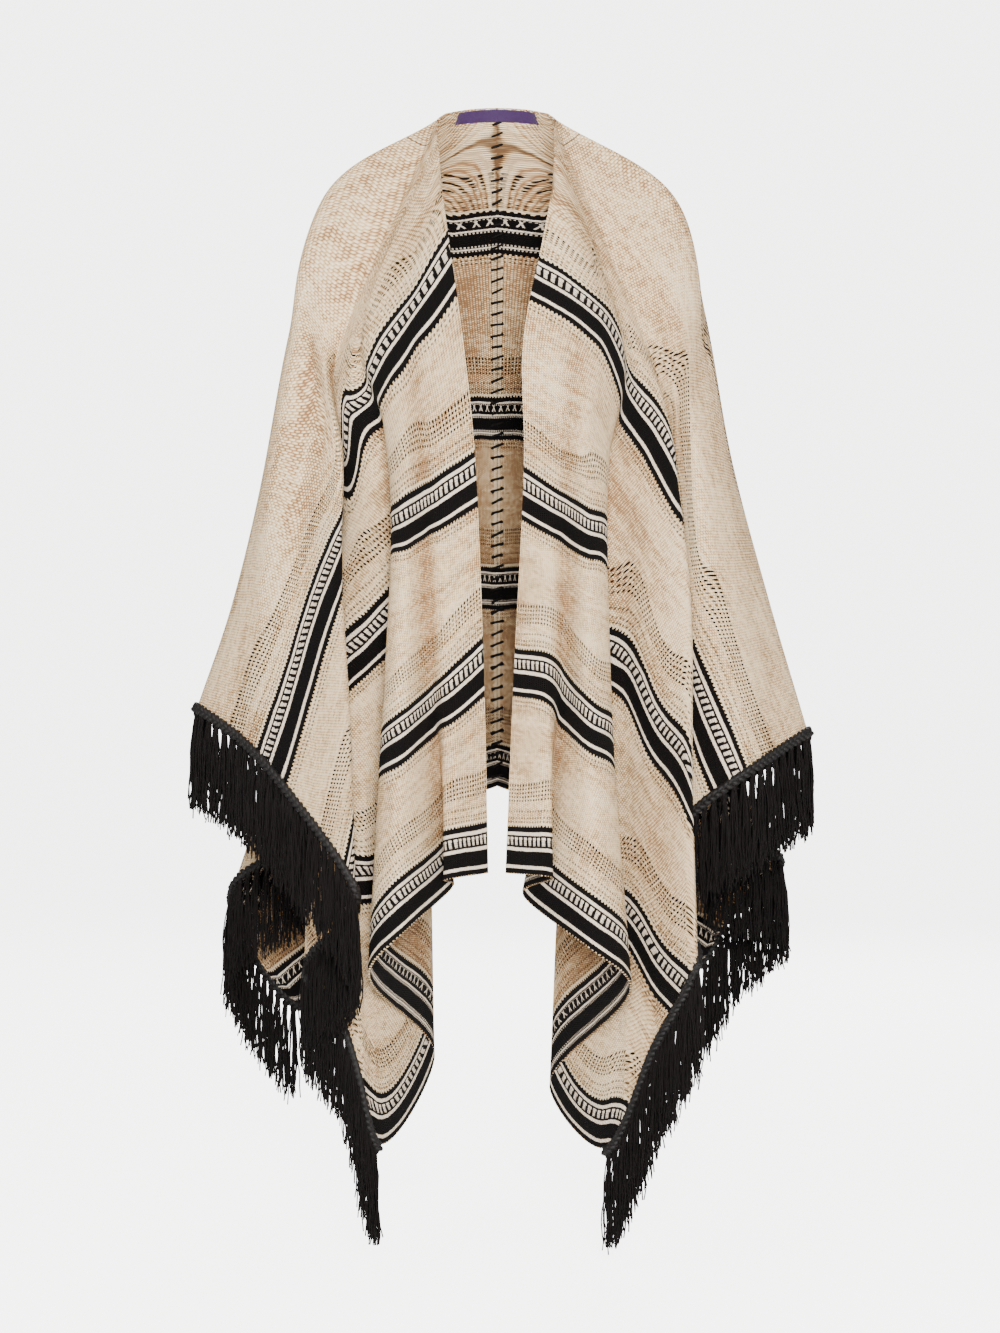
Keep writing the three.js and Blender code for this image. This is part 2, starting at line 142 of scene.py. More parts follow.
LEFT_FOLDS = {
    "front_edge": [(554, 182, -62, 62), (541, 248, -118, 120), (523, 345, -150, 232),
                   (524, 470, -155, 366), (514, 680, -152, 612), (506, 873, -155, 840)],
    "strip_fold": [(554, 172, -55, 52), (567, 262, -122, 118), (557, 365, -152, 236),
                   (552, 490, -158, 368), (549, 700, -165, 628), (552, 878, -176, 840)],
    "strip_tuck": [(554, 162, -50, 42), (590, 285, -114, 124), (576, 388, -145, 249),
                   (567, 508, -150, 380), (560, 712, -142, 622), (523, 893, -118, 840)],
    "front_swell": [(555, 152, -42, 33), (606, 312, -106, 133), (593, 420, -148, 270),
                    (587, 532, -168, 392), (588, 738, -190, 618), (588, 947, -208, 840)],
    "top_fold": [(555, 145, -35, 26), (620, 335, -94, 124), (609, 450, -126, 263),
                 (607, 560, -146, 410), (614, 765, -158, 624), (631, 985, -166, 840)],
    "deep_tuck": [(555, 140, -30, 24), (625, 355, -86, 122), (602, 480, -90, 260),
                  (582, 610, -70, 370), (562, 850, -10, 590), (550, 1087, 62, 840)],
    "under_layer": [(555, 135, -25, 20), (634, 365, -76, 119), (626, 490, -84, 236),
                    (624, 640, -82, 369), (618, 900, -66, 592), (606, 1148, -50, 840)],
    "under_edge": [(555, 132, -20, 16), (645, 372, -72, 113), (650, 495, -92, 209),
                   (654, 650, -104, 326), (658, 880, -112, 523), (655, 1046, -106, 680)],
    "wing_edge": [(555, 129, -14, 12), (657, 385, -68, 108), (678, 500, -100, 171),
                  (690, 620, -126, 263), (692, 790, -150, 388), (697, 957, -156, 540)],
    "wing_tuck": [(555, 127, -10, 8), (655, 372, -52, 92), (667, 470, -46, 115),
                  (672, 590, -28, 165), (664, 740, 0, 250), (643, 889, 34, 360)],
    "wing_front": [(556, 125, -6, 6), (664, 345, -44, 62), (684, 440, -54, 50),
                   (692, 545, -60, 81), (694, 680, -64, 147), (692, 811, -66, 211)],
    "wing_bend": [(556, 123, -3, 3), (672, 290, -38, 26), (693, 400, -52, 14),
                  (709, 510, -62, 44), (726, 640, -72, 89), (739, 774, -82, 140)],
    "wing_round": [(556, 122, -1, 1), (682, 240, -20, -8), (705, 360, -28, -34),
                   (727, 480, -34, -22), (752, 610, -40, 30), (776, 748, -46, 78)],
    "arm_line": [(556, 121, 0, 0), (671, 194, 0, -28), (704, 312, 0, -72),
                 (731, 460, 0, -76), (768, 600, 0, -30), (806, 729, 0, 0)],
    "back_bend": [(555, 120, 6, 0), (674, 240, 28, -60), (702, 350, 42, -118),
                  (724, 470, 48, -128), (746, 600, 50, -104), (764, 760, 44, -100)],
    "back_wing": [(553, 118, 14, 0), (661, 270, 75, -95), (678, 400, 96, -180),
                  (691, 520, 98, -210), (704, 660, 84, -215), (716, 800, 60, -200)],
    "back_swell": [(550, 116, 22, 0), (646, 300, 95, -115), (658, 430, 120, -200),
                   (670, 560, 122, -250), (684, 700, 106, -300), (706, 828, 88, -310)],
    "back_tuck": [(547, 114, 28, 0), (634, 315, 98, -150), (651, 440, 126, -245),
                  (676, 580, 138, -335), (718, 730, 134, -430), (777, 856, 130, -490)],
    "back_fringe": [(543, 113, 34, 0), (624, 325, 105, -182), (642, 450, 136, -298),
                    (664, 590, 158, -412), (698, 750, 184, -555), (734, 906, 204, -690)],
    "back_corner": [(538, 112, 40, 0), (611, 320, 112, -215), (620, 450, 134, -335),
                    (632, 600, 150, -465), (662, 785, 164, -635), (695, 965, 176, -840)],
    "back_deep": [(533, 111, 46, 0), (596, 315, 122, -235), (598, 440, 128, -360),
                  (604, 580, 118, -500), (618, 735, 90, -650), (636, 900, 58, -840)],
    "back_inner": [(527, 110, 50, 0), (577, 308, 130, -238), (580, 440, 148, -372),
                   (582, 570, 164, -524), (582, 705, 188, -686), (580, 860, 214, -840)],
    "back_mid": [(518, 109, 54, 0), (552, 300, 134, -230), (551, 420, 136, -374),
                 (553, 550, 126, -534), (557, 690, 112, -697), (561, 824, 98, -840)],
    "back_seam_side": [(509, 108.4, 57, 0), (525, 280, 134, -210), (525, 400, 152, -368),
                       (525, 530, 164, -531), (526, 660, 178, -688), (528, 798, 190, -840)],
    "centre_seam": [(497, 108, 60, 0), (497, 272, 126, -204), (497, 392, 144, -359),
                    (497, 522, 146, -521), (497, 655, 148, -683), (497, 786, 150, -840)],
}

SIDES = {"right": (RIGHT_FOLDS, 1), "left": (LEFT_FOLDS, -1)}
# Steps of the net between two fold lines and between two stations, and how many
# steps apart the lines are whose widths are worked out.
ACROSS = 12
DOWN = 24
EVERY = 4
# Rounds of softening for how steeply the fall grows, and for the mean surface that a hollow
# is measured from; the knit paints shade where the cloth lies hollow.
SLOPE_ROUNDS = 30
HOLLOW_ROUNDS = 60
SLOPE_LIMITS = (0.6, 1.8)
# The label reaches this many fold lines to each side of the seam.
LABEL_COLUMNS = 4.4
# Faces that meet at a sharper angle keep a crisp edge.
CRISP_ANGLE = math.radians(50)

# How strongly the pale studio lights the cloth, and how bright it looks itself.
STUDIO_LIGHT = 0.40
STUDIO_SEEN = 5.2


# Sizes and colours that a user would change.


def length(name, description, default):
    """A size in metres for the sidebar."""
    return bpy.props.FloatProperty(
        name=name, description=description, default=default, min=0, unit="LENGTH", precision=4
    )


def colour(name, description, default):
    """A colour for the sidebar, given as it looks on screen."""
    linear = [((c + 0.055) / 1.055) ** 2.4 if c > 0.04045 else c / 12.92 for c in default]
    return bpy.props.FloatVectorProperty(
        name=name, description=description, default=linear, size=3, min=0, max=1, subtype="COLOR"
    )


class PONCHO_PG_cloth(bpy.types.PropertyGroup):
    """The knitted panels."""

    half_width: length("Half width", "Cut width of one panel, seam to fringed edge", 0.850)
    panel_length: length("Length", "Cut length from the shoulder line to a hem", 0.840)
    neck_cut: length("Neck cut", "Strip left out at the front of each panel", 0.070)
    wall: length("Thickness", "Thickness of the knit", 0.0024)
    stitch_wide: length("Stitch width", "Width of one knit stitch", 0.0030)
    stitch_tall: length("Stitch height", "Height of one knit stitch", 0.0026)
    hole_pitch: length("Hole pitch", "Spacing of the openwork holes along a row", 0.0044)
    row_pitch: length("Row pitch", "Spacing of the openwork rows", 0.0043)
    bar_pitch: length("Bar pitch", "Spacing of the bars of the ladder stripe", 0.0074)


class PONCHO_PG_trim(bpy.types.PropertyGroup):
    """The plaits, the tassels and the seam's whip stitches."""

    plait_wide: length("Plait width", "Width of the plait along a fringed edge", 0.0135)
    plait_strand: length("Plait strand", "Thickness of one strand of the plait", 0.0062)
    plait_turn: length("Plait turn", "Length of one full turn of the plait", 0.0230)
    tassel_pitch: length("Tassel pitch", "Spacing of the tassels", 0.0140)
    tassel_length: length("Tassel length", "Length of a tassel below the plait", 0.104)
    yarn: length("Yarn", "Thickness of one yarn of a tassel", 0.0016)
    yarns: bpy.props.IntProperty(
        name="Yarns", description="Yarns in one tassel", default=20, min=1
    )
    seed: bpy.props.IntProperty(
        name="Seed", description="Fixed start of the random draws", default=7
    )
    stitch_length: length("Whip stitch", "Length of one whip stitch", 0.0150)
    stitch_thick: length("Whip stitch yarn", "Thickness of the seam's yarn", 0.0030)
    stitch_pitch: length("Whip stitch pitch", "Spacing of the whip stitches", 0.0136)


class PONCHO_PG_colours(bpy.types.PropertyGroup):
    """The colours of the yarns and the label."""

    cream: colour("Cream", "Lightest yarn of the ground", (0.96, 0.87, 0.72))
    sand: colour("Sand", "Middle yarn of the ground", (0.86, 0.71, 0.52))
    camel: colour("Camel", "Darkest yarn of the ground", (0.57, 0.42, 0.29))
    shadow: colour("Shadow", "Depth of a hole in the knit", (0.10, 0.055, 0.035))
    black: colour("Black", "Yarn of the stripes and the trim", (0.03, 0.02, 0.02))
    white: colour("White", "Yarn of the thin stripes", (0.94, 0.88, 0.80))
    purple: colour("Purple", "Ground of the label", (0.20, 0.115, 0.26))
    backdrop: colour("Backdrop", "Floor and backdrop", (0.97, 0.966, 0.962))


# The shape of the cloth.


def place(stations):
    """Where table readings lie in the model: x, y, z, and the fall, all in metres."""
    right, down, behind, fall = np.moveaxis(np.asarray(stations, float), -1, 0)
    per_step = (SIGHT_DISTANCE + behind) / SIGHT_FOCAL
    nape = (SIGHT_LEVEL - NAPE_DOWN) * (SIGHT_DISTANCE + NAPE_BEHIND) / SIGHT_FOCAL
    x = (right - SIGHT_CENTRE) * per_step
    z = (SIGHT_LEVEL - down) * per_step - nape
    return np.stack([x, behind - NAPE_BEHIND, z, fall], -1) * MM


def smooth_line(points, knots, places):
    """A smooth line through points, at places counted in the same units as knots.

    The fall, which comes last, never swings past its readings.
    """
    extra = (1,) * (points.ndim - 1)
    gaps = np.diff(knots).reshape(-1, *extra)
    into = np.diff(points, axis=0) / gaps
    inner = (into[:-1] * gaps[1:] + into[1:] * gaps[:-1]) / (gaps[1:] + gaps[:-1])
    inner[..., 3][into[:-1, ..., 3] * into[1:, ..., 3] <= 0] = 0
    slopes = np.concatenate([into[:1], inner, into[-1:]])
    i = np.clip(np.searchsorted(knots, places, side="right") - 1, 0, len(knots) - 2)
    run = gaps[i]
    s = ((places - knots[i]) / np.diff(knots)[i]).reshape(-1, *extra)
    return (
        (2 * s**3 - 3 * s**2 + 1) * points[i]
        + run * (s**3 - 2 * s**2 + s) * slopes[i]
        + (3 * s**2 - 2 * s**3) * points[i + 1]
        + run * (s**3 - s**2) * slopes[i + 1]
    )


def drape(folds):
    """The middle of a panel's cloth as net[column, row]: x, y, z and the fall."""
    lines = place(list(folds.values()))
    count, stations = lines.shape[:2]
    down = np.arange((stations - 1) * DOWN + 1) / DOWN
    long = smooth_line(np.moveaxis(lines, 1, 0), np.arange(stations, dtype=float), down)
    steps = np.arange((count - 1) * ACROSS + 1) / ACROSS
    rounds = []
    for points in long:
        gaps = np.sqrt(np.linalg.norm(np.diff(points[:, :3], axis=0), axis=1) / MM) + 0.5
        knots = np.concatenate([[0], np.cumsum(gaps)])
        rounds.append(smooth_line(points, knots, np.interp(steps, np.arange(count), knots)))
    return np.stack(rounds, 1)


def outward(net, turn):
    """The outward direction at each point of a net."""
    points = net[..., :3]
    normal = turn * np.cross(np.gradient(points, axis=0), np.gradient(points, axis=1))
    normal[-1, :, 0] = 0
    return normal / np.linalg.norm(normal, axis=-1, keepdims=True)


def way_down(points, fall):
    """How the fall grows at each point: the way, times how much for each metre."""
    along_i, along_j = np.gradient(points, axis=0), np.gradient(points, axis=1)
    fall_i, fall_j = np.gradient(fall, axis=0), np.gradient(fall, axis=1)
    size_i = np.sum(along_i**2, -1)
    size_j = np.sum(along_j**2, -1)
    mixed = np.sum(along_i * along_j, -1)
    down = (size_j * fall_i - mixed * fall_j)[..., None] * along_i
    down += (size_i * fall_j - mixed * fall_i)[..., None] * along_j
    return down / (size_i * size_j - mixed**2 + 1e-15)[..., None]


def soften(values, rounds):
    """Values of a net, each made more like its neighbours."""
    for _ in range(rounds):
        wide = np.pad(values, 1, mode="edge")
        values = (wide[:-2, 1:-1] + wide[2:, 1:-1] + wide[1:-1, :-2] + wide[1:-1, 2:]) / 4
    return values


def widths(points, across, neck_cut):
    """How far each point lies from the middle of the back, measured across the cloth.

    The front edge and the seam have known places. Between them the spacing follows
    the cloth as evenly as it can, worked out on the net's main lines.
    """
    main = points[::EVERY, ::EVERY]
    at = np.arange(main.shape[0] * main.shape[1]).reshape(main.shape[:2])
    ties = np.zeros((at.size, at.size))
    wants = np.zeros(at.size)
    for axis in (0, 1):
        line = np.moveaxis(points, axis, 0)
        way = np.moveaxis(across, axis, 0)
        want = np.sum((way[:-1] + way[1:]) / 2 * np.diff(line, axis=0), -1)[:, ::EVERY]
        want = want.reshape(-1, EVERY, want.shape[1]).sum(1).ravel()
        gap = np.linalg.norm(np.diff(np.moveaxis(main, axis, 0), axis=0), axis=-1).ravel()
        weight = 1 / (gap + 2e-5)
        low = np.moveaxis(at, axis, 0)[:-1].ravel()
        high = np.moveaxis(at, axis, 0)[1:].ravel()
        np.add.at(ties, (low, low), weight)
        np.add.at(ties, (high, high), weight)
        np.add.at(ties, (low, high), -weight)
        np.add.at(ties, (high, low), -weight)
        np.add.at(wants, low, -weight * want)
        np.add.at(wants, high, weight * want)
    held = np.concatenate([at[0], at[-1]])
    ties[held] = 0
    ties[held, held] = 1
    wants[at[0]], wants[at[-1]] = neck_cut, 0
    width = np.linalg.solve(ties, wants).reshape(at.shape)
    for axis in (0, 1):
        marks = np.arange(0, points.shape[axis], EVERY)
        width = np.apply_along_axis(
            lambda values: np.interp(np.arange(marks[-1] + 1), marks, values), axis, width)
    return width


class Panel:
    """One panel's net, its outward directions and its place on the flat cloth."""

    def __init__(self, side, neck_cut):
        self.folds, self.turn = SIDES[side]
        net = drape(self.folds)
        net[-1, :, 0] = 0
        self.points = net[..., :3]
        self.fall = net[..., 3]
        self.normals = outward(net, self.turn)
        down = way_down(self.points, self.fall)
        slope = np.linalg.norm(down, axis=-1)
        across = self.turn * np.cross(down / (slope[..., None] + 1e-12), self.normals)
        self.width = widths(self.points, across, neck_cut)
        self.slope = soften(np.clip(slope, *SLOPE_LIMITS), SLOPE_ROUNDS)
        # How hollow the cloth lies against its softened mean surface; the knit uses it for painted
        # shade in the folds.
        around = np.stack([soften(self.points[..., k], HOLLOW_ROUNDS) for k in range(3)], -1)
        self.hollow = np.sum((around - self.points) * self.normals, -1)

    def column(self, fold):
        """The net's column on a fold line."""
        return list(self.folds).index(fold) * ACROSS


# Meshes.


def mesh_object(name, points, faces, materials, face_materials=None, smooth=True):
    """A mesh in the scene, from its points and faces."""
    mesh = bpy.data.meshes.new(name)
    mesh.from_pydata([tuple(p) for p in points], [], [tuple(f) for f in faces])
    for material in materials:
        mesh.materials.append(material)
    if face_materials is not None:
        mesh.polygons.foreach_set("material_index", face_materials)
    mesh.polygons.foreach_set("use_smooth", [smooth] * len(mesh.polygons))
    mesh.validate()
    mesh.update()
    piece = bpy.data.objects.new(name, mesh)
    bpy.context.collection.objects.link(piece)
    return piece


def shell(points, normals, inner, outer, turn):
    """A closed wall on a net: its points, its faces, and how many faces are on a side."""
    columns, rows = points.shape[:2]
    sides = [points + normals * outer, points + normals * inner]
    corners = np.concatenate([side.reshape(-1, 3) for side in sides])
    at = np.arange(columns * rows).reshape(columns, rows)
    quads = np.stack([at[:-1, :-1], at[1:, :-1], at[1:, 1:], at[:-1, 1:]], -1).reshape(-1, 4)
    edge = [(i, 0) for i in range(columns - 1)]
    edge += [(columns - 1, j) for j in range(rows - 1)]
    edge += [(i, rows - 1) for i in range(columns - 1, 0, -1)]
    edge += [(0, j) for j in range(rows - 1, 0, -1)]
    ring = np.array([at[i, j] for i, j in edge])
    after = np.roll(ring, -1)
    below = columns * rows
    rim = np.stack([ring + below, after + below, after, ring], -1)
    faces = np.concatenate([quads, quads[:, ::-1] + below, rim])
    if turn < 0:
        faces = faces[:, ::-1]
    return corners, faces, len(quads)


def tubes(lines, radius, around):
    """Closed round tubes along lines of points: their points and faces."""
    points, faces = [], []
    for line in lines:
        start = len(points)
        line = np.asarray(line)
        along = np.gradient(line, axis=0)
        along /= np.linalg.norm(along, axis=1, keepdims=True)
        side = np.cross(along, [0.31, 0.17, 0.93])
        side /= np.linalg.norm(side, axis=1, keepdims=True)
        front = np.cross(along, side)
        for k, centre in enumerate(line):
            for c in range(around):
                angle = 2 * math.pi * c / around
                offset = side[k] * math.cos(angle) + front[k] * math.sin(angle)
                points.append(centre + offset * radius)
        for k in range(len(line) - 1):
            for c in range(around):
                a = start + k * around + c
                b = start + k * around + (c + 1) % around
                faces.append((a, b, b + around, a + around))
        last = start + (len(line) - 1) * around
        faces.append(tuple(start + c for c in reversed(range(around))))
        faces.append(tuple(last + c for c in range(around)))
    return points, faces


def dress(piece, slot, *nodes):
    """Makes a piece ride on the body and stand for nodes, which it hides. The slot is not used."""
    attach(piece, "root")
    if nodes:
        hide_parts(*nodes)


# Materials.


class Wires:
    """Adds nodes to a tree and joins them up."""

    def __init__(self, tree):
        self.tree = tree

    def node(self, kind, settings=None, **inputs):
        """A node with its settings, and its inputs by name, as values or joined sockets."""
        made = self.tree.nodes.new(kind)
        for key, value in (settings or {}).items():
            setattr(made, key, value)
        for key, value in inputs.items():
            self.put(made.inputs[key.replace("_", " ")], value)
        return made

    def put(self, socket, value):
        """Sets an input, or joins it to an output."""
        if isinstance(value, bpy.types.NodeSocket):
            self.tree.links.new(value, socket)
        else:
            socket.default_value = value

    def math(self, operation, *values, clamp=False):
        """One calculation on numbers."""
        made = self.node("ShaderNodeMath", {"operation": operation, "use_clamp": clamp})
        for socket, value in zip(made.inputs, values):
            self.put(socket, value)
        return made.outputs[0]

    def add(self, *values):
        """The sum of numbers."""
        total = values[0]
        for value in values[1:]:
            total = self.math("ADD", total, value)
        return total

    def times(self, *values):
        """The product of numbers."""
        total = values[0]
        for value in values[1:]:
            total = self.math("MULTIPLY", total, value)
        return total

    def less(self, first, second):
        """The first number less the second."""
        return self.math("SUBTRACT", first, second)

    def above(self, value, edge, soft=0.4):
        """Rises from 0 to 1 where a value passes an edge, over a soft width."""
        made = self.node("ShaderNodeMapRange", {"interpolation_type": "SMOOTHSTEP"}, Value=value)
        made.inputs["From Min"].default_value = edge - soft
        made.inputs["From Max"].default_value = edge + soft
        return made.outputs[0]

    def below(self, value, edge, soft=0.4):
        """Falls from 1 to 0 where a value passes an edge."""
        return self.less(1.0, self.above(value, edge, soft))

    def between(self, value, low, high, soft=0.4):
        """1 where a value lies between two edges."""
        return self.less(self.above(value, low, soft), self.above(value, high, soft))

    def mix(self, share, first, second):
        """A colour between two colours."""
        made = self.node("ShaderNodeMix", {"data_type": "RGBA"})
        self.put(made.inputs[0], share)
        self.put(made.inputs[6], first)
        self.put(made.inputs[7], second)
        return made.outputs[2]

    def ramp(self, value, stops):
        """A colour from a value, through colours at places from 0 to 1."""
        made = self.node("ShaderNodeValToRGB", Fac=value)
        elements = made.color_ramp.elements
        while len(elements) < len(stops):
            elements.new(0.5)
        for element, (place_at, rgb) in zip(elements, stops.items()):
            element.position = place_at
            element.color = opaque(rgb)
        return made.outputs[0]

    def spread(self, value, low, high):
        """A value from 0 to 1 spread to run from low to high."""
        return self.math("MULTIPLY_ADD", value, high - low, low)

    def join(self, x, y=0.0, z=0.0):
        """A vector from three numbers."""
        made = self.node("ShaderNodeCombineXYZ")
        for socket, value in zip(made.inputs, (x, y, z)):
            self.put(socket, value)
        return made.outputs[0]

    def noise(self, vector, scale, detail=2.0):
        """Soft random values about one half."""
        made = self.node("ShaderNodeTexNoise", Vector=vector, Scale=scale, Detail=detail)
        return made.outputs[0]

    def random(self, x, y):
        """A random value for each whole x and y."""
        cell = self.join(self.math("FLOOR", x), self.math("FLOOR", y))
        return self.node("ShaderNodeTexWhiteNoise", {"noise_dimensions": "2D"}, Vector=cell).outputs[0]

    def share_of(self, value, pitch):
        """How far a value is through its repeat, from 0 to 1."""
        return self.math("FRACT", self.math("DIVIDE", value, pitch))

    def either(self, *values):
        """The largest of some numbers."""
        return functools.reduce(lambda first, second: self.math("MAXIMUM", first, second), values)

    def squared(self, value):
        """A number times itself."""
        return self.math("POWER", value, 2.0)

    def parts_of(self, vector):
        """The three numbers of a vector."""
        return self.node("ShaderNodeSeparateXYZ", Vector=vector).outputs

    def layer(self, name):
        """The two numbers of a UV layer, and a zero."""
        return self.parts_of(self.node("ShaderNodeUVMap", {"uv_map": name}).outputs[0])

    def spot(self):
        """Where a point lies on its piece."""
        return self.node("ShaderNodeTexCoord").outputs["Object"]

    def emboss(self, surface, height, strength, deep):
        """Raises a surface by a height, in shade alone."""
        bump = self.node("ShaderNodeBump", Height=height, Strength=strength, Distance=deep)
        self.put(surface.inputs["Normal"], bump.outputs[0])


def new_material(name, roughness, sheen, sheen_roughness=0.5):
    """A material with its node helper and its surface shader."""
    material = bpy.data.materials.new(name)
    material.use_nodes = True
    wires = Wires(material.node_tree)
    surface = material.node_tree.nodes["Principled BSDF"]
    surface.inputs["Roughness"].default_value = roughness
    surface.inputs["Specular IOR Level"].default_value = 0.12
    surface.inputs["Sheen Weight"].default_value = sheen
    surface.inputs["Sheen Roughness"].default_value = sheen_roughness
    return material, wires, surface


def opaque(rgb):
    """A colour with its alpha."""
    return (*rgb, 1.0)


# The stripe runs down from its top edge, in mm: each part and how deep it is.
STRIPE = {
    "top_black": 6.4,
    "top_white": 3.7,
    "ladder": 13.4,
    "middle_white": 3.7,
    "wide_black": 16.0,
    "low_white": 3.5,
    "low_black": 6.3,
}
STRIPE_TALL = sum(STRIPE.values())
# Where the four stripes are held: mm below the shoulder line, and the share of the
# stripe's depth there. The last one is held by its end, at the hem.
STRIPE_HOLDS = ((153, 0.5), (393, 0.5), (603, 0.5), (840, 1.0))
TOOTH_PITCH = 4.4
FIGURE_PITCH = 10.5

# Depths in mm below the top edge of a stripe. The openwork lies above the stripe, and
# its top row has taller holes. Single rows of dots lie above and below the stripe.
OPENWORK = (-47.3, -25.8)
TALL_ROW = (-47.3, -43.0)
DOT_ROWS = (-16.0, -9.0, -4.6, 57.5, 62.0)
LIGHT_ROW = (-3.2, 0.5)
# The reverse of the stripe: its lines, its rows of ticks and its crossed figures.
REVERSE_LINES = ((6.2, 8.3), (21.4, 23.4), (43.2, 44.9))
REVERSE_TICKS = ((9.2, 10.2), (24.0, 25.8), (40.4, 42.3), (45.4, 47.1))
REVERSE_FIGURES = (10.6, 17.8)
FIGURE_CROSSING = 12.6
TICK_PITCH = 3.0

# The tone of the ground runs from 0, dark, to 1, light. This is what each part adds: the loops add
# painted light on their tops and painted shade between them, and the hollows and the reverse face add
# painted shade.
TONE_MIDDLE = 0.56
# Painted light on the tops of the loops and painted shade in the gaps between them.
LOOP_LIGHT_AND_SHADE = (-0.50, 0.42)
TONE_STITCH = 0.24
TONE_SLUB = 0.35
TONE_STREAK = 0.42
TONE_BLOTCH = 0.50
# Painted shade: the reverse face, which lies mostly inside the poncho, is made darker all over.
REVERSE_SHADE = -0.12
# Painted shade in the folds: for each mm that the cloth lies hollow there, between two limits, the
# tone falls by this much.
HOLLOW_SHADE = -0.07
HOLLOW_LEAST, HOLLOW_MOST = -2.5, 3.5


def stripe_edges():
    """The depth in mm where each part of the stripe starts."""
    starts, depth = {}, 0.0
    for part, tall in STRIPE.items():
        starts[part] = depth
        depth += tall
    return starts


def stripe_depth(wires, fall, slope):
    """The depth in mm below the top edge of the nearest stripe."""
    held, depth = STRIPE_HOLDS[0][0], STRIPE_HOLDS[0][1] * STRIPE_TALL
    for (upper, share), (lower, next_share) in zip(STRIPE_HOLDS, STRIPE_HOLDS[1:]):
        halfway = upper + (1 - share) * STRIPE_TALL + 0.25 * (lower - upper)
        passed = wires.math("GREATER_THAN", fall, halfway)
        held = wires.add(wires.times(passed, float(lower - upper)), held)
        depth = wires.add(wires.times(passed, (next_share - share) * STRIPE_TALL), depth)
    return wires.add(wires.math("DIVIDE", wires.less(fall, held), slope), depth)


def knit_material(cloth, colours, reverse):
    """The knit: a melange ground with painted light and shade, openwork holes painted as shadow, and
    the black and white stripe.
    """
    name = "knit_reverse" if reverse else "knit_face"
    material, wires, surface = new_material(name, roughness=0.95, sheen=0.0)
    sheet = wires.layer("cloth")
    along = wires.times(sheet[0], 1 / MM)
    signed = wires.times(sheet[1], 1 / MM)
    flat = wires.join(along, signed)
    # The slope layer's second number is the hollow, which drives painted shade in the folds.
    slope, hollow = wires.layer("slope")[:2]
    wander = wires.noise(flat, 0.03)
    fall = wires.add(wires.math("ABSOLUTE", signed), wires.spread(wander, -1.2, 1.2))
    depth = stripe_depth(wires, fall, slope)
    hole_across = wires.less(wires.share_of(along, cloth.hole_pitch / MM), 0.5)

    each, loops = knit_stitches(wires, cloth, along, signed)
    slub = wires.noise(wires.join(wires.times(along, 0.035), wires.times(signed, 0.55)), 1.0)
    tone = ground_tone(wires, along, signed, each, loops, slub, hollow, reverse)
    ground = wires.ramp(tone, {0.0: colours.camel, 0.42: colours.sand, 0.86: colours.cream})
    pits = knit_pits(wires, cloth, flat, depth, hole_across)
    cream, shadow = opaque(colours.cream), opaque(colours.shadow)
    light_row = wires.between(depth, *LIGHT_ROW, 0.8)
    ground = wires.mix(wires.times(light_row, 0.6), ground, cream)
    # Painted shadow: the holes of the openwork and the dots take the shadow colour.
    ground = wires.mix(pits, ground, shadow)
    off_seam = wires.math("ABSOLUTE", along)
    ground = wires.mix(wires.times(wires.between(off_seam, 1.6, 5.0, 0.8), 0.35), ground, cream)
    # Painted shadow along the seam line.
    ground = wires.mix(wires.times(wires.below(off_seam, 0.8), 0.6), ground, shadow)

    tooth = wires.math("ABSOLUTE", wires.less(wires.share_of(along, TOOTH_PITCH), 0.5))
    nib = wires.spread(wires.above(tooth, 0.25, 0.08), -0.9, 0.9)
    ragged = wires.spread(wires.noise(flat, 0.9, 1.0), -1.0, 1.0)
    edge = wires.add(depth, wires.times(ragged, 0.6))
    striped = wires.times(
        wires.above(wires.add(edge, nib), 0.0, 0.35),
        wires.below(wires.less(edge, nib), STRIPE_TALL, 0.35),
    )
    whites = reverse_whites(wires, edge, along) if reverse else face_whites(wires, cloth, edge, along)
    black = wires.mix(wires.spread(each, 0.0, 0.10), opaque(colours.black), shadow)
    white = wires.mix(wires.spread(each, 0.0, 0.30), opaque(colours.white), opaque(colours.sand))
    stripe = wires.mix(whites, black, white)
    wires.put(surface.inputs["Base Color"], wires.mix(striped, ground, stripe))
    height = wires.less(wires.add(loops, wires.times(slub, 0.6)), wires.times(pits, 1.6))
    wires.emboss(surface, height, 0.9, 1.6 * MM)
    return material


def knit_stitches(wires, cloth, along, signed):
    """A random value for each stitch, and how its loop rises. Every other column is shifted."""
    stitch_x = wires.math("DIVIDE", along, cloth.stitch_wide / MM)
    column = wires.math("FLOOR", stitch_x)
    offset = wires.times(wires.math("FLOORED_MODULO", column, 2.0), 0.5)
    stitch_y = wires.add(wires.math("DIVIDE", signed, cloth.stitch_tall / MM), offset)
    rises = [wires.math("SINE", wires.times(wires.math("FRACT", stitch), math.pi))
             for stitch in (stitch_x, stitch_y)]
    return wires.random(stitch_x, stitch_y), wires.times(*rises)


